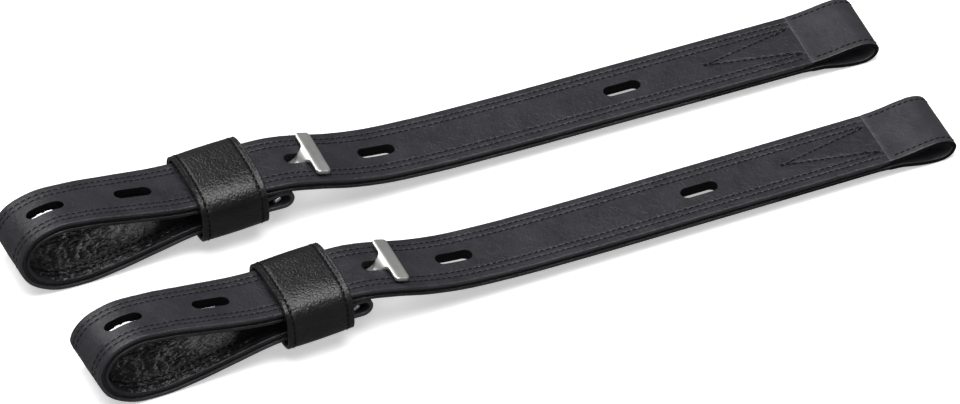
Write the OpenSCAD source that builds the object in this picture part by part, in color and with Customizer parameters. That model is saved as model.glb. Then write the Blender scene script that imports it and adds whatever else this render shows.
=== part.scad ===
// A pair of short stirrup straps with steel T-hooks, one keeper each.
// Frame: +X along the straps towards the sewn end loops, +Y away from the
// near strap, +Z up; the origin is under the middle of the pair.

/* [Strap] */
// width of the strap leather
strap_w = 28; // [20:0.5:40]
// whole thickness of cover, core and lining
strap_t = 4.4; // [3:0.1:6]
// thickness of the cover leather
cover_t = 1.5; // [1:0.1:2]
// thickness of the lining leather
lining_t = 1.3; // [1:0.1:2]
// width of the leather border on each side of the core
border_w = 2; // [1:0.5:4]

/* [Slots] */
// length of a slot
slot_len = 15; // [10:0.5:20]
// width of a slot
slot_w = 5.5; // [4:0.5:8]

/* [Sewn loop] */
// where the core stops and the band is sewn in
tongue_x = 276; // [250:1:300]
// where the cover leather ends
seam_x = 322; // [310:1:330]
// far end of the loop
end_x = 349.8; // [340:0.1:360]

/* [Hook] */
// length of the crossbar
cross_l = 23.4; // [20:0.1:30]
// width of the crossbar
cross_w = 5.6; // [4:0.1:8]
// thickness of the plate
plate_t = 1.8; // [1.2:0.1:3]
// width of the neck
neck_w = 5.1; // [3:0.1:6]

/* [Keeper] */
// outside width
keeper_w = 37.5; // [34:0.5:44]
// outside height
keeper_h = 23; // [18:0.1:28]
// length along the strap
keeper_l = 26.6; // [15:0.1:40]
// thickness of the keeper's cover leather
keeper_cover_t = 1.4; // [1:0.1:2]
// thickness of the keeper's lining leather
keeper_lining_t = 1; // [0.8:0.1:2]

/* [Pair] */
// distance between the two straps
pair_gap = 64.5; // [45:0.5:90]
// how far the near strap lies towards the loops
pair_shift = 4.5; // [0:0.5:20]
// turn of the near strap
pair_yaw = 1.1; // [0:0.1:5]
// how much further along the near strap's keeper sits
near_keeper_shift = 2.5; // [0:0.5:4]

/* [Hidden] */
half_t = strap_t / 2;
under_cover = half_t - cover_t;
over_lining = lining_t - half_t;
thread_h = 0.25;
thread_w = 0.6;
row_outer = strap_w / 2 - 3.5;
row_inner = strap_w / 2 - 6.1;
pivot = [104.7, 13.3];
fold_in = 2.3;
fold_out = 3.8;
fold_slack = 2;
fold_x = 88;
keeper_x = 85;
keeper_z = 16.7;
keeper_pitch = 3;
mid_x = 175;
middle = [177.24, -33.2];
slot_x = [16.1, 50.6, 84.5, 118.5, 148.8, 249.6];

// middle line of the strap, from the fold at the hook, round the
// stirrup loop and along the top to the seam of the sewn loop
knots = [
    [fold_x, 12], [80, 11.4], [70, 10.3], [55, 7.1], [40, 3.9], [26, 2.2],
    [13, 3.8], [5, 9.3], [2.2, 16.6], [6, 24], [14.5, 27.9], [28, 27.6],
    [45, 24.7], [66, 21.2], [84, 20.3], [98, 20.2], [109, 19.4],
    [121, 16.6], [133, 13], [146, 10.3], [165, 8.5], [195, 7.4],
    [240, 6.8], [tongue_x, 6.4], [300, 6.2], [seam_x, 6]
];
top_knot = 9;
steps = 3;

// ---- smooth curves ----
function knot_slope(p, i) =
    i == 0 ? (p[1] - p[0]) / norm(p[1] - p[0])
    : i == len(p) - 1 ? (p[i] - p[i - 1]) / norm(p[i] - p[i - 1])
    : let (a = norm(p[i] - p[i - 1]), b = norm(p[i + 1] - p[i]))
      ((p[i + 1] - p[i]) * a / b + (p[i] - p[i - 1]) * b / a) / (a + b);

function blend(p0, p1, m0, m1, t) =
    (2 * t * t * t - 3 * t * t + 1) * p0 + (t * t * t - 2 * t * t + t) * m0
    + (3 * t * t - 2 * t * t * t) * p1 + (t * t * t - t * t) * m1;

function curve(p, n) = concat(
    [for (i = [0:len(p) - 2]) for (k = [0:n - 1])
        let (d = norm(p[i + 1] - p[i]))
        blend(p[i], p[i + 1], knot_slope(p, i) * d, knot_slope(p, i + 1) * d, k / n)],
    [p[len(p) - 1]]);

function outward(c, i) =
    let (a = c[max(i - 1, 0)], b = c[min(i + 1, len(c) - 1)], d = b - a)
    [-d[1], d[0]] / norm(d);

function side(c, off) = [for (i = [0:len(c) - 1]) c[i] + off * outward(c, i)];
function reversed(v) = [for (i = [len(v) - 1:-1:0]) v[i]];
function part_of(v, a, b) = [for (i = [a:b]) v[i]];

line_mid = curve(knots, steps);
last = len(line_mid) - 1;
tongue_i = last - 2 * steps;
top_i = top_knot * steps;
top_run = [for (i = [top_i:last]) line_mid[i]];
function top_z(x) = lookup(x, top_run);
function top_slope(x) = atan2(top_z(x + 1) - top_z(x - 1), 2);

// ---- shared shapes ----
module across(w) {
    rotate([90, 0, 0]) linear_extrude(height = w, center = true) children();
}

// strip of the strap between two distances from its middle line
module layer(a, b, lo, hi, w, y = 0) {
    translate([0, y, 0]) across(w)
        polygon(concat(part_of(side(line_mid, lo), a, b),
            reversed(part_of(side(line_mid, hi), a, b))));
}

module slot_cutter(x) {
    z = top_z(x);
    translate([x, 0, z]) rotate([0, -top_slope(x), 0]) {
        for (s = [-1, 1])
            translate([s * (slot_len - slot_w) / 2, 0, 0])
                cylinder(h = 9, d = slot_w, center = true, $fn = 48);
        cube([slot_len - slot_w, slot_w, 9], center = true);
    }
}

module slots() {
    for (x = slot_x) slot_cutter(x);
}

// ---- strap ----
module cover() {
    color([0.05, 0.05, 0.06]) difference() {
        union() {
            layer(0, last, under_cover, half_t, strap_w);
            for (s = [-1, 1])
                layer(0, tongue_i, over_lining, under_cover + 0.2, border_w,
                    s * (strap_w - border_w) / 2);
        }
        slots();
    }
}

module lining() {
    color([0.09, 0.09, 0.1]) difference() {
        layer(0, tongue_i, -half_t, over_lining, strap_w);
        slots();
    }
}

module core() {
    color([0.2, 0.2, 0.2]) difference() {
        layer(0, tongue_i, over_lining, under_cover, strap_w - 2 * border_w);
        slots();
    }
}

module edge_stitching() {
    color([0.03, 0.03, 0.03])
        for (s = [-1, 1]) for (y = [row_outer, row_inner])
            layer(top_i - 4, last, half_t, half_t + thread_h, thread_w, s * y);
}

module lining_stitching() {
    color([0.03, 0.03, 0.03])
        for (s = [-1, 1]) for (y = [row_outer, row_inner])
            layer(1, top_i + 3 * steps, -half_t - thread_h, -half_t, thread_w, s * y);
}

// ---- sewn loop ----
loop_outer = [
    [seam_x, 7.9], [327, 8.3], [332, 9], [338, 9.9], [343.5, 10.1],
    [347.6, 8.7], [end_x, 5.7], [348.6, 2.4], [345.5, 0.4], [341, 0],
    [335, 0.9], [328, 2.6]
];
loop_inner = [
    [328.5, 5.6], [333, 6.5], [338, 7.4], [343, 7.7], [345.8, 6.9],
    [347.3, 5.3], [346.4, 3.4], [343.2, 2.5], [339, 2.8], [333, 4.1]
];

module loop_band() {
    tail = part_of(side(line_mid, under_cover), tongue_i, last);
    under = part_of(side(line_mid, -half_t), tongue_i, last);
    color([0.05, 0.05, 0.06]) across(strap_w) difference() {
        polygon(concat(tail, curve(loop_outer, 3), reversed(under)));
        polygon(curve(concat(loop_inner, [loop_inner[0]]), 3));
    }
}

module loop_stitching() {
    path = part_of(curve(loop_outer, 3), 1, 21);
    color([0.03, 0.03, 0.03]) for (s = [-1, 1])
        translate([0, s * (strap_w / 2 - 2.4), 0]) across(thread_w)
            polygon(concat(path, reversed(side(path, thread_h))));
}

module v_stitching() {
    tip = 283.6;
    leg = 36.4;
    half = row_inner - 1;
    turn = atan(half / leg);
    color([0.03, 0.03, 0.03]) intersection() {
        layer(tongue_i, last, half_t, half_t + thread_h, strap_w);
        translate([tip, 0, 3]) for (s = [-1, 1])
            rotate([0, 0, s * turn]) translate([0, -thread_w / 2, 0])
                cube([leg / cos(turn), thread_w, 12]);
    }
}

// ---- fold round the hook ----
function arc(c, r, a0, a1, n) =
    [for (i = [0:n]) let (a = a0 + (a1 - a0) * i / n) c + r * [cos(a), sin(a)]];

fold_end = pivot + [fold_slack, 0];

module fold() {
    low = side(line_mid, half_t)[0];
    high = side(line_mid, -half_t)[0];
    color([0.05, 0.05, 0.06]) difference() {
        across(strap_w - 1)
            polygon(concat([high, low], arc(fold_end, fold_out, -90, 90, 18)));
        for (c = [pivot, fold_end])
            translate([c[0], 0, c[1]]) rotate([90, 0, 0])
                cylinder(h = strap_w, r = fold_in, center = true, $fn = 96);
        translate([pivot[0], -strap_w / 2, pivot[1] - fold_in])
            cube([fold_slack, strap_w, 2 * fold_in]);
        translate([pivot[0], -3.4, pivot[1] - 1]) cube([9, 6.8, 8]);
    }
}

module fold_stitching() {
    path = arc(fold_end, fold_out, -90, 0, 9);
    wrap = arc(fold_end, fold_out + thread_h, 0, -90, 9);
    color([0.03, 0.03, 0.03]) for (s = [-1, 1])
        translate([0, s * row_outer, 0]) across(thread_w) polygon(concat(path, wrap));
}

// ---- hook ----
cross_x = 122.5;
bar_tilt = 32;
function bar_pt(d) = pivot + d * [cos(bar_tilt), sin(bar_tilt)];
function cross_pt(d) =
    let (x = cross_x + d * cos(top_slope(cross_x)))
    [x, top_z(cross_x) + d * sin(top_slope(cross_x))]
    + (half_t + thread_h + 0.65 + plate_t / 2)
    * [-sin(top_slope(cross_x)), cos(top_slope(cross_x))];

module hook() {
    path = curve([bar_pt(-2), bar_pt(0), bar_pt(1.6), [109, 14.5], [112.5, 15.2], [116.8, 17.2],
        cross_pt(-cross_w / 2 + 0.4), cross_pt(0), cross_pt(cross_w / 2)], 4);
    left = bar_pt(-2)[0];
    right = cross_pt(cross_w / 2)[0];
    color([0.75, 0.75, 0.76]) intersection() {
        across(cross_l + 2)
            polygon(concat(side(path, plate_t / 2), reversed(side(path, -plate_t / 2))));
        translate([0, 0, 5]) linear_extrude(height = 25) {
            translate([left - 1, -12]) square([bar_pt(1.6)[0] - left + 1, 24]);
            translate([left, -neck_w / 2]) square([right - left - 1, neck_w]);
            for (s = [-1, 1])
                translate([right - cross_w / 2 - 0.3, s * (cross_l - cross_w) / 2])
                    circle(d = cross_w, $fn = 64);
            translate([right - cross_w - 0.3, -(cross_l - cross_w) / 2])
                square([cross_w, cross_l - cross_w]);
        }
    }
}

// ---- keeper ----
module keeper_shape(inset) {
    w = keeper_w - 2 * inset;
    h = keeper_h - 2 * inset;
    rt = 9 - inset;
    rb = 6 - inset;
    for (s = [-1, 1]) {
        translate([s * (w / 2 - rt), h / 2 - rt]) circle(r = rt, $fn = 96);
        translate([s * (w / 2 - rb), rb - h / 2]) circle(r = rb, $fn = 96);
    }
    translate([rt - w / 2, -h / 2 + rb]) square([w - 2 * rt, h - rb]);
    translate([rb - w / 2, -h / 2]) square([w - 2 * rb, rb + 1]);
    translate([-w / 2, -h / 2 + rb]) square([w, h - rt - rb]);
}

module keeper_place() {
    translate([keeper_x, 0, keeper_z]) rotate([0, -keeper_pitch, 0])
        rotate([90, 0, 90]) children();
}

module keeper_ring(out, in, l) {
    linear_extrude(height = l, center = true) difference() {
        keeper_shape(out);
        keeper_shape(in);
    }
}

module keeper() {
    color([0.05, 0.05, 0.06]) keeper_place() keeper_ring(0, keeper_cover_t, keeper_l);
}

module keeper_lining() {
    color([0.1, 0.1, 0.1]) keeper_place()
        keeper_ring(keeper_cover_t, keeper_cover_t + keeper_lining_t, keeper_l - 0.6);
}

module keeper_stitching() {
    color([0.03, 0.03, 0.03]) keeper_place() for (s = [-1, 1])
        translate([0, 0, s * (keeper_l / 2 - 2.6)]) keeper_ring(-thread_h, 0, thread_w);
}

// ---- placing the two straps ----
module far() {
    translate([-middle[0], -middle[1], 0]) children();
}

module near() {
    far() translate([mid_x + pair_shift, -pair_gap, 0]) rotate([0, 0, pair_yaw])
        translate([-mid_x, 0, 0]) children();
}

module near_shifted() {
    near() translate([near_keeper_shift, 0, 0]) children();
}

far() cover();  // far_cover
far() lining();  // far_lining
far() core();  // far_core
far() edge_stitching();  // far_edge_stitching
far() lining_stitching();  // far_lining_stitching
far() loop_band();  // far_loop_band
far() loop_stitching();  // far_loop_stitching
far() v_stitching();  // far_v_stitching
far() fold();  // far_fold
far() fold_stitching();  // far_fold_stitching
far() hook();  // far_hook
far() keeper();  // far_keeper
far() keeper_lining();  // far_keeper_lining
far() keeper_stitching();  // far_keeper_stitching
near() cover();  // near_cover
near() lining();  // near_lining
near() core();  // near_core
near() edge_stitching();  // near_edge_stitching
near() lining_stitching();  // near_lining_stitching
near() loop_band();  // near_loop_band
near() loop_stitching();  // near_loop_stitching
near() v_stitching();  // near_v_stitching
near() fold();  // near_fold
near() fold_stitching();  // near_fold_stitching
near() hook();  // near_hook
near_shifted() keeper();  // near_keeper
near_shifted() keeper_lining();  // near_keeper_lining
near_shifted() keeper_stitching();  // near_keeper_stitching
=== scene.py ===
"""A pair of short black leather stirrup straps with steel T-hooks, in the CAD model's frame."""
import math

import bmesh
import bpy
import numpy as np
from mathutils import Matrix, Vector


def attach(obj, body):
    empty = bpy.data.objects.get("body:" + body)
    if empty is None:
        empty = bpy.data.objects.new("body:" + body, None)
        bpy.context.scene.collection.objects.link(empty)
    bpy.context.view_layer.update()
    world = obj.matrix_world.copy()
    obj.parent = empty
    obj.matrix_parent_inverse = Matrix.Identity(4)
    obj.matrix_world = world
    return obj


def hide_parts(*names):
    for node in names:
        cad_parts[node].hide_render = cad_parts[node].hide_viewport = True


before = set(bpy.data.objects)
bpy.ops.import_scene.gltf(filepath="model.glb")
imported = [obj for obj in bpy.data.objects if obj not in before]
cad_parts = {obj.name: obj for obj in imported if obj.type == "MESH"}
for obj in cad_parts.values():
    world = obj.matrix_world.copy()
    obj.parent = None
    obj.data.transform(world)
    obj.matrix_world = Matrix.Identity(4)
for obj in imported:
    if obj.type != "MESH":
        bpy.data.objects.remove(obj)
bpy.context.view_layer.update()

# ---- sizes, in millimetres, as in the CAD model ----
# x runs along a strap, y across it and z up; heights inside the strap count from its middle.
MM = 0.001
STRAP_W = 28.0
HALF_T = 2.2
UNDER_COVER = 0.7
OVER_LINING = -0.9
ROWS = (10.5, 7.9, -7.9, -10.5)
PITCH = 2.45
SLOT_LEN = 15.0
SLOT_W = 5.5
SLOT_X = (16.1, 50.6, 84.5, 118.5, 148.8, 249.6)
TONGUE_X = 276.0
SEAM_X = 322.0
END_X = 349.8
V_TIP = 283.6
V_END = SEAM_X - 3
V_HALF = 6.9
TONGUE_HALF_T = 0.68
BAND_HALF_T = 0.95
PIVOT = np.array([104.7, 13.3])
FOLD_SLACK = 2.0
FOLD_MID = 3.2
FOLD_HALF_T = 0.88
FOLD_HALF_W = 13.5
SLIT_HALF = 3.3
MIDDLE = (177.24, -33.2)
YAW = math.radians(1.1)
PAIR_GAP = 64.5
PAIR_SHIFT = 4.5
MID_X = 175.0
LOOP_TWIST = math.tan(math.radians(13))
TWIST_END = 118.0
KNOTS = [
    (88, 12), (80, 11.4), (70, 10.3), (55, 7.1), (40, 3.9), (26, 2.2),
    (13, 3.8), (5, 9.3), (2.2, 16.6), (6, 24), (14.5, 27.9), (28, 27.6),
    (45, 24.7), (66, 21.2), (84, 20.3), (98, 20.2), (109, 19.4),
    (121, 16.6), (133, 13), (146, 10.3), (165, 8.5), (195, 7.4),
    (240, 6.8), (TONGUE_X, 6.4), (300, 6.2), (SEAM_X, 6),
]
LOOP_OUTER = [
    (SEAM_X, 8.15), (327, 8.4), (332, 9), (338, 9.9), (343.5, 10.1),
    (347.6, 8.7), (END_X, 5.7), (348.6, 2.4), (345.5, 0.4), (341, 0.1),
    (335, 0.9), (328, 2.6), (SEAM_X, 3.8),
]


# ---- curves ----
def arc(cx, cy, r, a0, a1, count):
    """Points of an arc, from angle a0 to a1 in degrees."""
    angles = np.radians(np.linspace(a0, a1, count))
    return [(cx + r * math.cos(a), cy + r * math.sin(a)) for a in angles]


def hermite(knots, per_knot):
    """Smooth line through the knots."""
    p = np.array(knots, float)
    gap = np.linalg.norm(np.diff(p, axis=0), axis=1)[:, None]
    slope = np.diff(p, axis=0) / gap
    m = np.empty_like(p)
    m[0] = slope[0]
    m[-1] = slope[-1]
    m[1:-1] = (slope[1:] * gap[:-1] + slope[:-1] * gap[1:]) / (gap[:-1] + gap[1:])
    out = []
    for i in range(len(p) - 1):
        for t in np.arange(per_knot) / per_knot:
            a = 2 * t ** 3 - 3 * t ** 2 + 1
            b = t ** 3 - 2 * t ** 2 + t
            c = 3 * t ** 2 - 2 * t ** 3
            d = t ** 3 - t ** 2
            out.append(a * p[i] + c * p[i + 1] + gap[i] * (b * m[i] + d * m[i + 1]))
    out.append(p[-1])
    return np.array(out)


class Line:
    """A plane curve by arc length: x along the strap, z up, normals on its left."""

    def __init__(self, points, step):
        points = np.array(points, float)
        d = np.concatenate([[0], np.cumsum(np.linalg.norm(np.diff(points, axis=0), axis=1))])
        self.length = d[-1]
        n = max(int(round(self.length / step)), 8)
        self.s = np.linspace(0, self.length, n + 1)
        self.p = np.stack([np.interp(self.s, d, points[:, k]) for k in (0, 1)], 1)
        t = np.gradient(self.p, axis=0)
        self.t = t / np.linalg.norm(t, axis=1)[:, None]
        self.n = np.stack([-self.t[:, 1], self.t[:, 0]], 1)

    def at(self, s):
        """Points, tangents and normals at arc lengths s."""
        pick = [[np.interp(s, self.s, a[:, k]) for k in (0, 1)] for a in (self.p, self.t, self.n)]
        return [np.stack(a, -1) for a in pick]

    def s_of(self, x, after=0.0):
        """Arc length where the line passes x, past the given arc length."""
        ok = self.s >= after
        i = np.argmin(np.abs(self.p[ok, 0] - x))
        return self.s[ok][i]


STEP = 0.6
STRAP = Line(hermite(KNOTS, 24), STEP)
TOP_S = STRAP.s_of(2.2)


def part(line, s0, s1):
    """The stretch of a line between two arc lengths."""
    n = max(int((s1 - s0) / STEP), 6)
    p = line.at(np.linspace(s0, s1, n + 1))[0]
    return Line(p, (s1 - s0) / n)


# ---- placing ----
def lift(v, x=None):
    """The loop lies a little twisted: its near edge stands higher than its far edge."""
    along = v[:, 0] if x is None else np.full(len(v), x)
    w = np.clip((TWIST_END - along) / TWIST_END, 0, 1)
    out = v.copy()
    out[:, 2] += -v[:, 1] * LOOP_TWIST * w * np.clip(v[:, 2] / 29, 0, 1.2)
    return out


def placed(v, strap):
    """Strap coordinates in millimetres to the row frame in metres."""
    v = np.array(v, float)
    if strap == "near":
        x, y = v[:, 0] - MID_X, v[:, 1].copy()
        v[:, 0] = x * math.cos(YAW) - y * math.sin(YAW) + MID_X + PAIR_SHIFT
        v[:, 1] = x * math.sin(YAW) + y * math.cos(YAW) - PAIR_GAP
    v[:, 0] -= MIDDLE[0]
    v[:, 1] -= MIDDLE[1]
    return v * MM


def add(name, verts, faces, material, body, nodes=(), sharp=50, sides=None):
    """A mesh piece that rides a body and stands for CAD nodes, its sides in their own material."""
    mesh = bpy.data.meshes.new(name)
    mesh.from_pydata([tuple(v) for v in verts], [], [tuple(f) for f in faces])
    mesh.validate()
    mesh.shade_smooth()
    mesh.set_sharp_from_angle(angle=math.radians(sharp))
    obj = bpy.data.objects.new(name, mesh)
    bpy.context.scene.collection.objects.link(obj)
    mesh.materials.append(material)
    if sides is not None:
        mesh.materials.append(sides)
        for face in mesh.polygons:
            face.material_index = int(abs(face.normal.y) > 0.75)
    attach(obj, body)
    if nodes:
        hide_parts(*nodes)
    return obj


# ---- swept leather ----
def near_rows(rows):
    """Section points close to the stitch rows, where the leather is pulled down."""
    return [round(y + d, 3) for y in rows for d in (-0.9, -0.6, -0.3, 0, 0.3, 0.6, 0.9)]


def section(y0, y1, r, extra, top_gap, low_gap):
    """Closed rounded section as (y, share of height, rounding) rows, anticlockwise from the top."""
    n = 4
    over = set(extra) if top_gap <= low_gap else set()
    below = set(extra) if top_gap > low_gap else set()
    ys = np.round(np.linspace(y0 + r, y1 - r, max(int((y1 - y0) / top_gap), 3)), 3)
    ys = sorted(set(ys) | over)
    rows = [(y, 1, 0.0) for y in ys]
    a = [math.pi / 2 * k / n for k in range(1, n + 1)]
    rows += [(y1 - r + r * math.sin(t), 1, r * (1 - math.cos(t))) for t in a]
    rows += [(y1 - r + r * math.cos(t), -1, r * (1 - math.sin(t))) for t in [0] + a[:-1]]
    low = np.round(np.linspace(y1 - r, y0 + r, max(int((y1 - y0) / low_gap), 3)), 3)
    low = sorted(set(low) | below, reverse=True)
    rows += [(y, -1, 0.0) for y in low]
    rows += [(y0 + r - r * math.sin(t), -1, r * (1 - math.cos(t))) for t in a]
    rows += [(y0 + r - r * math.cos(t), 1, r * (1 - math.sin(t))) for t in [0] + a[:-1]]
    return np.array(rows)


def sweep(line, y0, y1, lo, hi, r=0.5, rows=(), grow=None, sign=1, gap=1.6):
    """Vertices and faces of a band between heights lo and hi off the line."""
    n = len(line.s)
    lo = np.broadcast_to(np.array(lo, float), (n,))
    hi = np.broadcast_to(np.array(hi, float), (n,))
    gaps = (gap, 3) if sign > 0 else (3, gap)
    sec = section(y0, y1, r, near_rows(rows), *gaps)
    m = len(sec)
    y = np.broadcast_to(sec[:, 0], (n, m))
    top = sec[:, 1] > 0
    d = np.where(top, hi[:, None] - sec[:, 2], lo[:, None] + sec[:, 2])
    if grow is not None:
        face = (sec[:, 2] < 1e-6) & (top if sign > 0 else ~top)
        d = d + np.where(face, grow(line.s[:, None], y), 0)
    v = np.empty((n, m, 3))
    v[..., 0] = line.p[:, None, 0] + line.n[:, None, 0] * d
    v[..., 1] = y
    v[..., 2] = line.p[:, None, 1] + line.n[:, None, 1] * d
    k = np.arange(m)
    faces = []
    for i in range(n - 1):
        a, b = i * m, (i + 1) * m
        faces += [(a + q, b + q, b + (q + 1) % m, a + (q + 1) % m) for q in k]
    faces.append(tuple(k))
    faces.append(tuple((n - 1) * m + k[::-1]))
    return v.reshape(-1, 3), faces


def join(*parts):
    """Several (vertices, faces) as one."""
    verts, faces, base = [], [], 0
    for v, f in parts:
        verts.append(v)
        faces += [tuple(i + base for i in q) for q in f]
        base += len(v)
    return np.concatenate(verts), faces


def stitched(depth, rows, sign=1):
    """Height change of a face that stitch rows pull down, stitch by stitch."""
    def grow(s, y):
        out = np.zeros(np.broadcast(s, y).shape)
        for row in rows:
            near = np.exp(-((y - row) / 0.52) ** 2)
            out -= depth * near * (0.87 + 0.13 * np.cos(2 * math.pi * s / PITCH))
        edge = np.exp(-((np.abs(y) - STRAP_W / 2) / 1.3) ** 2)
        return sign * (out - 0.12 * edge + 0.05 * np.cos(y * 0.42))
    return grow


def with_v(grow):
    """Adds the groove that the V pulls into the cover."""
    def out(s, y):
        x = np.where(s > TOP_S, np.interp(s, STRAP.s, STRAP.p[:, 0]), 0)
        leg = np.clip((x - V_TIP) / (V_END - V_TIP), 0, 1) * V_HALF
        on = (x > V_TIP - 0.6) & (x < V_END + 1)
        near = np.exp(-((np.abs(y) - leg) / 0.5) ** 2) * on
        return grow(s, y) - 0.3 * near
    return out


def crumpled(grow):
    """Adds the lining's wrinkles, deepest where the loop bends it most."""
    rng = np.random.default_rng(5)
    waves = [(rng.uniform(1.2, 2.6), rng.uniform(0.3, 1.1), rng.uniform(0, 6.28),
              rng.choice([-1, 1])) for _ in range(16)]

    def out(s, y):
        h = 0.0
        for k, (a, b, phase, way) in enumerate(waves):
            h = h + np.sin(a * y * way + b * s + phase + 1.4 * np.sin(0.5 * y + 0.31 * s + k))
        h = np.abs(h) / 4
        inside = np.exp(-((s - TOP_S + 12) / 50.0) ** 4)
        return grow(s, y) + 0.9 * inside * np.clip(h - 0.15, 0, 0.7)
    return out


# ---- single stitches ----
def bead():
    """One stitch: a small slender ellipsoid, unit radius."""
    verts, faces = [(-1, 0, 0)], []
    rings, around = 5, 8
    for i in range(1, rings):
        a = math.pi * i / rings
        for k in range(around):
            b = 2 * math.pi * k / around
            verts.append((-math.cos(a), math.sin(a) * math.cos(b), math.sin(a) * math.sin(b)))
    verts.append((1, 0, 0))
    last = len(verts) - 1
    for k in range(around):
        q = (k + 1) % around
        faces.append((0, 1 + q, 1 + k))
        for i in range(rings - 2):
            c = 1 + i * around
            faces.append((c + k, c + q, c + around + q, c + around + k))
        c = 1 + (rings - 2) * around
        faces.append((c + k, c + q, last))
    return np.array(verts, float), faces


BEAD_V, BEAD_F = bead()


def beads(centres, along, side, up, length=1.95, width=0.56, height=0.4):
    """Stitches at the centres, each with its own three directions."""
    count = len(centres)
    v = (BEAD_V[None, :, 0:1] * along[:, None] * length / 2
         + BEAD_V[None, :, 1:2] * side[:, None] * width / 2
         + BEAD_V[None, :, 2:3] * up[:, None] * height / 2) + centres[:, None]
    m = len(BEAD_V)
    faces = [tuple(i + k * m for i in f) for k in range(count) for f in BEAD_F]
    return v.reshape(-1, 3), faces


SLANT = math.radians(7)


def row_of_stitches(line, y, s0, s1, off, **size):
    """Slightly slanting stitches in a row at y, standing off the line."""
    s = (np.arange(math.ceil(s0 / PITCH), math.floor(s1 / PITCH)) + 0.5) * PITCH
    p, t, n = line.at(s)
    zero = np.zeros(len(s))
    centre = np.stack([p[:, 0] + n[:, 0] * off, zero + y, p[:, 1] + n[:, 1] * off], 1)
    tangent = np.stack([t[:, 0], zero, t[:, 1]], 1)
    across = np.stack([zero, zero + 1, zero], 1)
    up = np.stack([n[:, 0], zero, n[:, 1]], 1)
    along = tangent * math.cos(SLANT) + across * math.sin(SLANT)
    side = across * math.cos(SLANT) - tangent * math.sin(SLANT)
    return beads(centre, along, side, up, **size)


def add_rows(name, node, strap, line, rows, s0, s1, off, leaning=True, **size):
    """Rows of stitches along a line, as one piece of thread."""
    v, f = join(*[row_of_stitches(line, y, s0, s1, off, **size) for y in rows])
    if leaning:
        v = lift(v)
    add(name, placed(v, strap), f, THREAD, strap + "_strap", [node])


# ---- materials ----
def node_tree(name):
    """A new material with its nodes, links, main shader and texture coordinates."""
    mat = bpy.data.materials.new(name)
    mat.use_nodes = True
    nodes, links = mat.node_tree.nodes, mat.node_tree.links
    shader = nodes["Principled BSDF"]
    coord = nodes.new("ShaderNodeTexCoord")
    return mat, nodes, links, shader, coord


def texture(nodes, links, coord, kind, scale, **sockets):
    tex = nodes.new(kind)
    links.new(coord.outputs["Object"], tex.inputs["Vector"])
    tex.inputs["Scale"].default_value = scale
    for key, value in sockets.items():
        tex.inputs[key].default_value = value
    return tex


def bump(nodes, links, height, strength, distance, normal=None):
    b = nodes.new("ShaderNodeBump")
    b.inputs["Strength"].default_value = strength
    b.inputs["Distance"].default_value = distance
    links.new(height, b.inputs["Height"])
    if normal is not None:
        links.new(normal, b.inputs["Normal"])
    return b.outputs["Normal"]


def ramp(nodes, links, fac, stops):
    """Colour that runs between two (position, colour) stops."""
    r = nodes.new("ShaderNodeValToRGB")
    r.color_ramp.elements[0].position = stops[0][0]
    r.color_ramp.elements[0].color = (*stops[0][1], 1)
    r.color_ramp.elements[1].position = stops[-1][0]
    r.color_ramp.elements[1].color = (*stops[-1][1], 1)
    links.new(fac, r.inputs["Fac"])
    return r.outputs["Color"]


def leather(name, dark, light, rough, pore, pore_strength, crease, crease_strength):
    """Black leather: mottled dye, cell-like grain, and larger creases."""
    mat, nodes, links, shader, coord = node_tree(name)
    mottle = texture(nodes, links, coord, "ShaderNodeTexNoise", 90, Detail=6, Roughness=0.6)
    links.new(ramp(nodes, links, mottle.outputs["Fac"], [(0.3, dark), (0.75, light)]),
              shader.inputs["Base Color"])
    rough_tex = texture(nodes, links, coord, "ShaderNodeTexNoise", 260, Detail=4)
    span = nodes.new("ShaderNodeMapRange")
    span.inputs["To Min"].default_value = rough - 0.08
    span.inputs["To Max"].default_value = rough + 0.1
    links.new(rough_tex.outputs["Fac"], span.inputs["Value"])
    links.new(span.outputs["Result"], shader.inputs["Roughness"])
    folds = texture(nodes, links, coord, "ShaderNodeTexNoise", crease, Detail=5, Distortion=0.9)
    cells = texture(nodes, links, coord, "ShaderNodeTexVoronoi", pore, Randomness=0.9)
    cells.feature = "DISTANCE_TO_EDGE"
    plateau = nodes.new("ShaderNodeMapRange")
    plateau.inputs["From Max"].default_value = 0.22
    links.new(cells.outputs["Distance"], plateau.inputs["Value"])
    normal = bump(nodes, links, folds.outputs["Fac"], crease_strength, 0.0012)
    normal = bump(nodes, links, plateau.outputs["Result"], pore_strength, 0.08 / pore, normal)
    links.new(normal, shader.inputs["Normal"])
    shader.inputs["Specular IOR Level"].default_value = 0.5
    return mat


def thread_material():
    """Black waxed thread."""
    mat, nodes, links, shader, coord = node_tree("thread")
    twist = texture(nodes, links, coord, "ShaderNodeTexWave", 900, Distortion=1.5)
    links.new(ramp(nodes, links, twist.outputs["Fac"], [(0, (0.002,) * 3), (1, (0.007,) * 3)]),
              shader.inputs["Base Color"])
    links.new(bump(nodes, links, twist.outputs["Fac"], 0.5, 0.0001), shader.inputs["Normal"])
    shader.inputs["Roughness"].default_value = 0.8
    shader.inputs["Specular IOR Level"].default_value = 0.1
    return mat


def webbing_material():
    """The dull woven core."""
    mat, nodes, links, shader, coord = node_tree("webbing")
    weave = texture(nodes, links, coord, "ShaderNodeTexWave", 520, Distortion=2)
    links.new(ramp(nodes, links, weave.outputs["Fac"],
                   [(0, (0.003, 0.003, 0.004)), (1, (0.01, 0.01, 0.011))]),
              shader.inputs["Base Color"])
    links.new(bump(nodes, links, weave.outputs["Fac"], 0.6, 0.0002), shader.inputs["Normal"])
    shader.inputs["Roughness"].default_value = 0.8
    return mat


def edge_dye_and_shade_material():
    """Flat black on cut edges: the real edge dye, and painted shade where it lines the slot walls."""
    mat, nodes, links, shader, coord = node_tree("edge_dye_and_shade")
    shader.inputs["Base Color"].default_value = (0.002, 0.002, 0.002, 1)
    shader.inputs["Roughness"].default_value = 0.75
    shader.inputs["Specular IOR Level"].default_value = 0.15
    return mat


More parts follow.
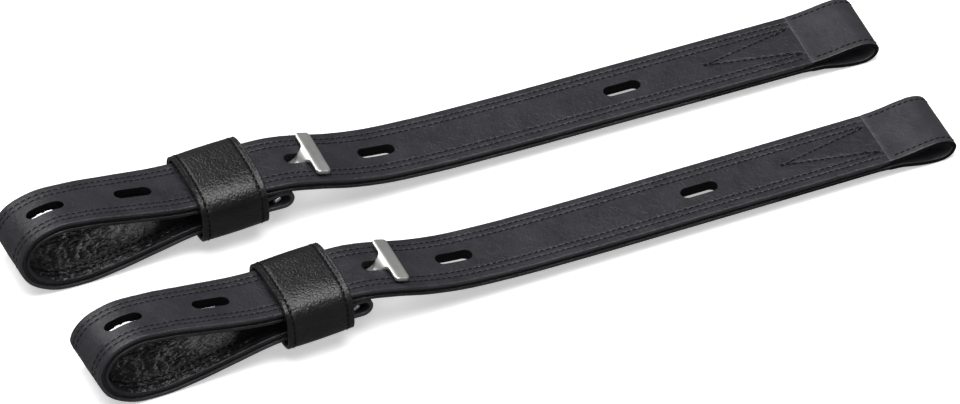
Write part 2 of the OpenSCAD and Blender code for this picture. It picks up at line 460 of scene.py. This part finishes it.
def steel_material():
    """Bright brushed steel, a little uneven."""
    mat, nodes, links, shader, coord = node_tree("steel")
    shader.inputs["Metallic"].default_value = 1.0
    tone = texture(nodes, links, coord, "ShaderNodeTexNoise", 120, Detail=4)
    links.new(ramp(nodes, links, tone.outputs["Fac"],
                   [(0.3, (0.84, 0.83, 0.82)), (0.7, (0.94, 0.93, 0.92))]),
              shader.inputs["Base Color"])
    grain = texture(nodes, links, coord, "ShaderNodeTexNoise", 400, Detail=3)
    span = nodes.new("ShaderNodeMapRange")
    span.inputs["To Min"].default_value = 0.34
    span.inputs["To Max"].default_value = 0.46
    links.new(grain.outputs["Fac"], span.inputs["Value"])
    links.new(span.outputs["Result"], shader.inputs["Roughness"])
    links.new(bump(nodes, links, tone.outputs["Fac"], 0.05, 0.0004), shader.inputs["Normal"])
    return mat


STRAP_LEATHER = leather("strap_leather", (0.011, 0.011, 0.014), (0.025, 0.025, 0.031),
                        0.38, 1100, 0.6, 420, 0.3)
LINING_LEATHER = leather("lining_leather", (0.004, 0.004, 0.005), (0.012, 0.012, 0.014),
                         0.34, 900, 0.5, 480, 0.3)
BAND_LEATHER = leather("band_leather", (0.02, 0.02, 0.024), (0.038, 0.038, 0.044),
                       0.38, 1500, 0.4, 420, 0.22)
KEEPER_LEATHER = leather("keeper_leather", (0.002, 0.002, 0.003), (0.007, 0.007, 0.008),
                         0.35, 640, 0.6, 190, 0.3)
THREAD = thread_material()
WEBBING = webbing_material()
STEEL = steel_material()
# Cut edges get flat black: real edge dye on the loop's edges, painted shade on the slot walls.
EDGE_DYE_AND_SHADE = edge_dye_and_shade_material()


# ---- slots ----
def slot_cutter():
    """Six rounded prisms, square to the strap at each slot."""
    pieces = []
    for x in SLOT_X:
        s = STRAP.s_of(x, TOP_S)
        p, t, n = STRAP.at(s)
        half, r = (SLOT_LEN - SLOT_W) / 2, SLOT_W / 2
        rim = arc(half, 0, r, -90, 90, 16) + arc(-half, 0, r, 90, 270, 16)
        m = len(rim)
        v = [(p[0] + t[0] * a + n[0] * h, b, p[1] + t[1] * a + n[1] * h)
             for h in (-5, 5) for a, b in rim]
        f = [tuple(range(m))[::-1], tuple(range(m, 2 * m))]
        f += [(i, (i + 1) % m, m + (i + 1) % m, m + i) for i in range(m)]
        pieces.append((np.array(v), f))
    return join(*pieces)


def cut_slots(obj, strap):
    """Cuts the slots through a piece; their walls take the edge dye, whose flat black there is partly
    painted shade.
    """
    v, f = slot_cutter()
    mesh = bpy.data.meshes.new("cutter")
    mesh.from_pydata([tuple(q) for q in placed(lift(v), strap)], [], f)
    for holder in (mesh, mesh, obj.data):
        holder.materials.append(EDGE_DYE_AND_SHADE)
    for face in mesh.polygons:
        face.material_index = 1
    tool = bpy.data.objects.new("cutter", mesh)
    bpy.context.scene.collection.objects.link(tool)
    mod = obj.modifiers.new("slots", "BOOLEAN")
    mod.operation = "DIFFERENCE"
    mod.solver = "EXACT"
    mod.object = tool
    graph = bpy.context.evaluated_depsgraph_get()
    done = bpy.data.meshes.new_from_object(obj.evaluated_get(graph))
    obj.modifiers.clear()
    old = obj.data
    obj.data = done
    bpy.data.meshes.remove(old)
    done.set_sharp_from_angle(angle=math.radians(42))
    bpy.data.objects.remove(tool)


# ---- one strap ----
def add_layer(name, node, strap, swept, material):
    """One layer of the strap, leaning with the loop, with its slots cut."""
    v, f = swept
    obj = add(name, placed(lift(v), strap), f, material, strap + "_strap", [node])
    cut_slots(obj, strap)


def build_layers(strap):
    """Cover, lining and core, which overlap by 0.1 mm or so, and the rows of stitches."""
    half = STRAP_W / 2
    tongue_s = STRAP.s_of(TONGUE_X, TOP_S)
    whole = part(STRAP, 0, STRAP.length)
    to_tongue = part(STRAP, 0, tongue_s)
    cover = sweep(whole, -half, half, UNDER_COVER - 0.1, HALF_T, 0.75, ROWS,
                  with_v(stitched(0.22, ROWS)), gap=0.6)
    add_layer(strap + "_cover_leather", strap + "_cover", strap, cover, STRAP_LEATHER)
    lining = sweep(to_tongue, -half, half, -HALF_T, OVER_LINING + 0.15, 0.65, ROWS,
                   crumpled(stitched(0.28, ROWS, sign=-1)), sign=-1, gap=0.5)
    add_layer(strap + "_lining_leather", strap + "_lining", strap, lining, LINING_LEATHER)
    core = sweep(to_tongue, 1 - half, half - 1, OVER_LINING - 0.1, UNDER_COVER + 0.1, 0.2)
    add_layer(strap + "_webbing", strap + "_core", strap, core, WEBBING)
    add_rows(strap + "_edge_stitches", strap + "_edge_stitching", strap,
             STRAP, ROWS, 2, STRAP.length - 1, HALF_T - 0.16, width=0.56)
    add_rows(strap + "_lining_stitches", strap + "_lining_stitching", strap,
             STRAP, ROWS, 2, tongue_s - 2, 0.12 - HALF_T)


def build_end_loop(strap):
    """The smooth band: a tongue under the cover, the loop, and the tongue's lower ply."""
    curve = Line(hermite(LOOP_OUTER, 12), 0.5)
    mid = curve.p - curve.n * BAND_HALF_T
    tail, _, tail_n = STRAP.at(np.linspace(STRAP.s_of(TONGUE_X, TOP_S), STRAP.length - 4, 40))
    lower = (tail - tail_n * 1.45)[::-1]
    path = Line(np.concatenate([tail, mid[3:-10], lower]), 0.6)
    in_loop = np.clip((path.p[:, 0] - (SEAM_X - 0.3)) / 0.6, 0, 1)
    half = TONGUE_HALF_T + (BAND_HALF_T - TONGUE_HALF_T) * in_loop
    v, f = sweep(path, -STRAP_W / 2, STRAP_W / 2, -half, half, 0.5)
    add(strap + "_end_loop", placed(v, strap), f, BAND_LEATHER, strap + "_strap",
        [strap + "_loop_band"], sides=EDGE_DYE_AND_SHADE)
    row = STRAP_W / 2 - 2.4
    s0 = curve.s_of(SEAM_X + 1.5)
    s1 = curve.s_of(330, curve.length * 0.6)
    add_rows(strap + "_end_loop_stitches", strap + "_loop_stitching", strap,
             curve, (-row, row), s0, s1, 0.03, leaning=False)


def build_v(strap):
    """The V, stitch by stitch, with a few back stitches at each end."""
    centres, alongs = [], []

    def run(x0, y0, x1, y1):
        a, b = np.array([x0, y0]), np.array([x1, y1])
        length = np.linalg.norm(b - a)
        count = int(length / PITCH)
        for k in range(count + 1):
            centres.append(a + (b - a) * k / count)
            alongs.append((b - a) / length)

    for side in (-1, 1):
        run(V_TIP, 0, V_END, side * V_HALF)
        run(V_END - 3.5, side * 5.6, V_END + 0.8, side * 7.4)
        run(V_TIP, side * 0.5, V_TIP + 4.4, side * 0.6)
    c, a = np.array(centres), np.array(alongs)
    height = STRAP.at(np.array([STRAP.s_of(x, TOP_S) for x in c[:, 0]]))[0][:, 1] + HALF_T - 0.1
    zero = np.zeros(len(c))
    centre = np.stack([c[:, 0], c[:, 1], height], 1)
    along = np.stack([a[:, 0], a[:, 1], zero], 1)
    across = np.stack([-a[:, 1], a[:, 0], zero], 1)
    up = np.stack([zero, zero, zero + 1], 1)
    v, f = beads(centre, along, across, up, height=0.36)
    add(strap + "_v_stitches", placed(v, strap), f, THREAD, strap + "_strap",
        [strap + "_v_stitching"])


def build_fold(strap):
    """The strap's end, folded round the hook's bar, with a slit for the neck."""
    end = PIVOT + [FOLD_SLACK, 0]
    low = [(86, 11.0), (94, 10.4), (PIVOT[0], PIVOT[1] - FOLD_MID)]
    high = [(PIVOT[0], PIVOT[1] + FOLD_MID), (94, 14.6), (88, 14.1)]
    bend = arc(end[0], end[1], FOLD_MID, -90, 90, 24)
    ring = Line(np.concatenate([hermite(low, 8)[:-1], bend, hermite(high, 8)[1:]]), 0.5)
    lower_half = part(ring, 0, ring.s_of(end[0] + FOLD_MID))
    v, f = join(sweep(ring, -FOLD_HALF_W, -SLIT_HALF, -FOLD_HALF_T, FOLD_HALF_T, 0.6),
                sweep(ring, SLIT_HALF, FOLD_HALF_W, -FOLD_HALF_T, FOLD_HALF_T, 0.6),
                sweep(lower_half, -SLIT_HALF - 0.3, SLIT_HALF + 0.3, -FOLD_HALF_T, FOLD_HALF_T, 0.3))
    add(strap + "_fold_leather", placed(lift(v), strap), f, STRAP_LEATHER, strap + "_strap",
        [strap + "_fold"])
    add_rows(strap + "_fold_stitches", strap + "_fold_stitching", strap,
             ring, (-10.5, 10.5), 4, ring.length - 14, -0.75)


# ---- hook ----
HOOK_HALF_T = 0.9
HOOK_CLEAR = 0.9
HOOK_TILT = math.radians(32)
CROSS_X = 122.5
CROSS_L = 23.4
CROSS_W = 5.6
CROSS_CORNER = 1.6
NECK_HALF = 2.55
NECK_FILLET = 3.0
BAR_FILLET = 1.6
BAR_HALF = 12.0


def hook_path():
    """Middle of the hook's bent plate: base bar, neck up through the slot, crossbar."""
    p, t, n = STRAP.at(STRAP.s_of(CROSS_X, TOP_S))
    cross = p + n * (HALF_T + HOOK_CLEAR + HOOK_HALF_T)
    tilt = np.array([math.cos(HOOK_TILT), math.sin(HOOK_TILT)])
    knots = [PIVOT - 2 * tilt, PIVOT, PIVOT + 1.6 * tilt, (109, 14.5), (112.5, 15.2), (116.8, 17.2),
             cross - t * (CROSS_W / 2 - 0.4), cross, cross + t * CROSS_W / 2]
    return hermite(knots, 10)


HOOK_PATH = hook_path()
HOOK_X0, HOOK_X1 = HOOK_PATH[0, 0], HOOK_PATH[-1, 0]


def hook_height(x):
    """Middle height of the bent plate at x."""
    return np.interp(x, HOOK_PATH[:, 0], HOOK_PATH[:, 1])


def hook_outline():
    """The hook seen from above, with rounded crossbar corners and fillets at the neck's ends."""
    bar_x = PIVOT[0] + 1.4
    half, c = CROSS_L / 2, CROSS_CORNER
    cross_x0 = HOOK_X1 - CROSS_W
    upper = arc(HOOK_X1 - c, half - c, c, 0, 90, 8)
    upper += arc(cross_x0 + c, half - c, c, 90, 180, 8)
    upper += arc(cross_x0 - NECK_FILLET, NECK_HALF + NECK_FILLET, NECK_FILLET, 0, -90, 7)
    upper += arc(bar_x + BAR_FILLET, NECK_HALF + BAR_FILLET, BAR_FILLET, -90, -180, 6)
    upper += [(bar_x, BAR_HALF - 0.8), (bar_x - 0.6, BAR_HALF)]
    upper += [(HOOK_X0 + 0.5, BAR_HALF), (HOOK_X0, BAR_HALF - 0.6)]
    return upper + [(x, -y) for x, y in reversed(upper)]


def flat_plate(outline):
    """The outline as a plate from -1 to 1, in strips along x so that it can bend, with eased rims."""
    bm = bmesh.new()
    low = [bm.verts.new((x, y, -1)) for x, y in outline]
    high = [bm.verts.new((x, y, 1)) for x, y in outline]
    bm.faces.new(low[::-1])
    bm.faces.new(high)
    for i in range(len(outline)):
        j = (i + 1) % len(outline)
        bm.faces.new((low[i], low[j], high[j], high[i]))
    bmesh.ops.recalc_face_normals(bm, faces=bm.faces)
    for x in np.arange(HOOK_X0 + 0.6, HOOK_X1 - 0.2, 0.7):
        geom = bm.verts[:] + bm.edges[:] + bm.faces[:]
        bmesh.ops.bisect_plane(bm, geom=geom, plane_co=(x, 0, 0), plane_no=(1, 0, 0))
    rim = [e for e in bm.edges if e.is_manifold and e.calc_face_angle(0) > math.radians(60)
           and abs(e.verts[0].co.z - e.verts[1].co.z) < 1e-4]
    bmesh.ops.bevel(bm, geom=rim, offset=0.45, segments=3, profile=0.5, affect="EDGES")
    bm.verts.index_update()
    verts = np.array([tuple(q.co) for q in bm.verts])
    faces = [tuple(q.index for q in face.verts) for face in bm.faces]
    bm.free()
    return verts, faces


def build_hook(strap):
    """Stamped T-hook: the flat plate, bent along its path."""
    v, f = flat_plate(hook_outline())
    x, y = v[:, 0], v[:, 1]
    slope = np.arctan2(hook_height(x + 0.2) - hook_height(x - 0.2), 0.4)
    off = v[:, 2] * HOOK_HALF_T
    bent = np.stack([x - off * np.sin(slope) * 0.6, y, hook_height(x) + off * np.cos(slope)], 1)
    add(strap + "_t_hook", placed(bent, strap), f, STEEL, strap + "_hook_body",
        [strap + "_hook"], sharp=35)


# ---- keeper ----
KEEPER_W, KEEPER_H, KEEPER_L = 37.5, 23.0, 26.6
KEEPER_COVER_T, KEEPER_LINING_T = 1.4, 1.0
KEEPER_X, KEEPER_Z, KEEPER_PITCH = 85.0, 16.7, math.radians(3)
KEEPER_ROWS = (KEEPER_L / 2 - 2.6, 2.6 - KEEPER_L / 2)
KEEPER_STEP = 0.6
NEAR_KEEPER_SHIFT = 2.5


def crowned_outline(step):
    """The keeper's outside across the strap, rounder above than below, as a Line in (y, up)."""
    turn = np.linspace(0, 2 * math.pi, 160)
    cy, cz = np.cos(turn), np.sin(turn)
    power = np.where(cz > 0, 2 / 2.8, 2 / 4.0)
    ring = np.stack([KEEPER_W / 2 * np.sign(cy) * np.abs(cy) ** power,
                     KEEPER_H / 2 * np.sign(cz) * np.abs(cz) ** power], 1)
    return Line(ring[::-1], step)


def lining_outline(inset, top, low, step):
    """The lining's outside: the keeper's box less an inset, with corner radii above and below."""
    w, h, rt, rb = KEEPER_W / 2 - inset, KEEPER_H / 2 - inset, top - inset, low - inset
    pts = arc(w - rb, rb - h, rb, -90, 0, 24) + arc(w - rt, h - rt, rt, 0, 90, 24)
    pts += arc(rt - w, h - rt, rt, 90, 180, 24) + arc(rb - w, rb - h, rb, 180, 270, 24)
    pts.append(pts[0])
    return Line(np.array(pts)[::-1], step)


def keeper_place(along, yz, shift=0.0):
    """Keeper coordinates (along, y, up) to strap coordinates."""
    c, s = math.cos(KEEPER_PITCH), math.sin(KEEPER_PITCH)
    x, y, z = along, yz[..., 0], yz[..., 1]
    v = np.stack([KEEPER_X + x * c - z * s, y, KEEPER_Z + x * s + z * c], -1).reshape(-1, 3)
    v = lift(v, KEEPER_X)
    v[:, 0] += shift
    return v


def keeper_band(line, thick, length, r, shift, grow=None):
    """A closed band round the strap with rounded rims."""
    rows = () if grow is None else KEEPER_ROWS
    sec = section(-length / 2, length / 2, r, near_rows(rows), 1.6, 3)
    n, m = len(line.s) - 1, len(sec)
    outside = sec[:, 1] > 0
    d = np.where(outside, -sec[:, 2], sec[:, 2] - thick)[None].repeat(n, 0)
    if grow is not None:
        face = outside & (sec[:, 2] < 1e-6)
        d = d + np.where(face, grow(line.s[:-1, None], sec[None, :, 0]), 0)
    yz = line.p[:-1, None, :] + line.n[:-1, None, :] * d[..., None]
    v = keeper_place(np.broadcast_to(sec[None, :, 0], (n, m)), yz, shift)
    faces = []
    for i in range(n):
        a, b = i * m, ((i + 1) % n) * m
        faces += [(a + q, a + (q + 1) % m, b + (q + 1) % m, b + q) for q in range(m)]
    return v, faces


def keeper_grow(s, x):
    """Height change of the keeper's outside: stitch grooves, rolled rims and a slight crown."""
    beat = 0.85 + 0.15 * np.cos(2 * math.pi * s / PITCH)
    out = 0.0
    for row in KEEPER_ROWS:
        out = out - 0.3 * np.exp(-((x - row) / 0.5) ** 2) * beat
    rim = np.exp(-((np.abs(x) - KEEPER_L / 2) / 0.7) ** 2)
    roll = np.exp(-((np.abs(x) - KEEPER_L / 2 + 1.2) / 0.8) ** 2)
    return out - 0.3 * rim + 0.1 * roll + 0.25 * np.cos(x * math.pi / KEEPER_L) - 0.15


def keeper_stitches(shift):
    """A row of stitches round the keeper by each rim."""
    line = crowned_outline(0.8)
    s = np.arange(0, int(line.length / PITCH)) * PITCH + PITCH / 2
    p, t, n = line.at(s)
    zero = np.zeros(len(s))
    pieces = []
    for x in KEEPER_ROWS:
        c = keeper_place(zero + x, p - n * 0.12, shift)
        ahead = keeper_place(zero + x, p + t * 0.5, shift)
        up = keeper_place(zero + x, p + n * 0.5, shift)
        along = (ahead - c) / np.linalg.norm(ahead - c, axis=1)[:, None]
        up = (up - c) / np.linalg.norm(up - c, axis=1)[:, None]
        pieces.append(beads(c, along, np.cross(up, along), up, length=2.0, width=0.6))
    return join(*pieces)


def build_keeper(strap):
    """Keeper leather, its lining and its stitches, on the body that slides."""
    body = strap + "_keeper_body"
    shift = NEAR_KEEPER_SHIFT if strap == "near" else 0.0
    outer = crowned_outline(KEEPER_STEP)
    v, f = keeper_band(outer, KEEPER_COVER_T, KEEPER_L, 0.68, shift, keeper_grow)
    add(strap + "_keeper_leather", placed(v, strap), f, KEEPER_LEATHER, body,
        [strap + "_keeper"])
    inner = lining_outline(KEEPER_COVER_T - 0.05, 9.0, 6.0, KEEPER_STEP)
    v, f = keeper_band(inner, KEEPER_LINING_T, KEEPER_L - 0.5, 0.45, shift)
    add(strap + "_keeper_lining_leather", placed(v, strap), f, LINING_LEATHER, body,
        [strap + "_keeper_lining"])
    v, f = keeper_stitches(shift)
    add(strap + "_keeper_stitches", placed(v, strap), f, THREAD, body,
        [strap + "_keeper_stitching"])


for which in ("far", "near"):
    for build in (build_layers, build_end_loop, build_v, build_fold, build_hook, build_keeper):
        build(which)


# ---- floor, light and camera ----
def build_floor():
    """A white floor that glows a little, so that only soft shadows show, and isn't reflected."""
    mat, nodes, links, shader, coord = node_tree("floor")
    shader.inputs["Base Color"].default_value = (0.93, 0.93, 0.93, 1)
    shader.inputs["Roughness"].default_value = 0.9
    shader.inputs["Emission Color"].default_value = (1, 1, 1, 1)
    shader.inputs["Emission Strength"].default_value = 0.42
    bpy.ops.mesh.primitive_plane_add(size=12, location=(0, 0, -0.0002))
    floor = bpy.context.object
    floor.name = "floor"
    floor.data.materials.append(mat)
    floor.visible_glossy = False


def area_light(name, place, size, power):
    """A soft rectangular light aimed at the middle of the straps."""
    data = bpy.data.lights.new(name, "AREA")
    data.shape = "RECTANGLE"
    data.size, data.size_y = size
    data.energy = power
    obj = bpy.data.objects.new(name, data)
    obj.location = place
    obj.rotation_euler = (-Vector(place)).to_track_quat("-Z", "Y").to_euler()
    bpy.context.scene.collection.objects.link(obj)


def build_world():
    world = bpy.data.worlds.new("studio")
    world.use_nodes = True
    back = world.node_tree.nodes["Background"]
    back.inputs["Color"].default_value = (1, 1, 1, 1)
    back.inputs["Strength"].default_value = 0.16
    bpy.context.scene.world = world


def build_camera():
    """A very long lens, looking down on the straps, which are turned from the picture's width."""
    turn, rise = math.radians(22.7), math.radians(42.8)
    view_width = 0.36009
    right = Vector((math.cos(turn), -math.sin(turn), 0))
    up = Vector((math.sin(turn) * math.sin(rise), math.cos(turn) * math.sin(rise), math.cos(rise)))
    back = right.cross(up)
    data = bpy.data.cameras.new("camera")
    data.lens = 500
    data.sensor_width = 36
    data.clip_end = 100
    distance = data.lens / data.sensor_width * view_width
    place = right * 0.0002 + up * 0.0032 + back * distance
    cam = bpy.data.objects.new("camera", data)
    cam.matrix_world = (Matrix.Translation(place)
                        @ Matrix((right, up, back)).transposed().to_4x4())
    bpy.context.scene.collection.objects.link(cam)
    bpy.context.scene.camera = cam
    bpy.context.scene.view_settings.view_transform = "Standard"


build_floor()
build_world()
area_light("top", (-0.1, -0.15, 1.5), (1.6, 1.0), 31)
area_light("back", (-0.7, 1.6, 1.2), (1.3, 0.7), 13)
area_light("front", (-0.9, -1.2, 0.8), (0.8, 0.5), 5)
build_camera()
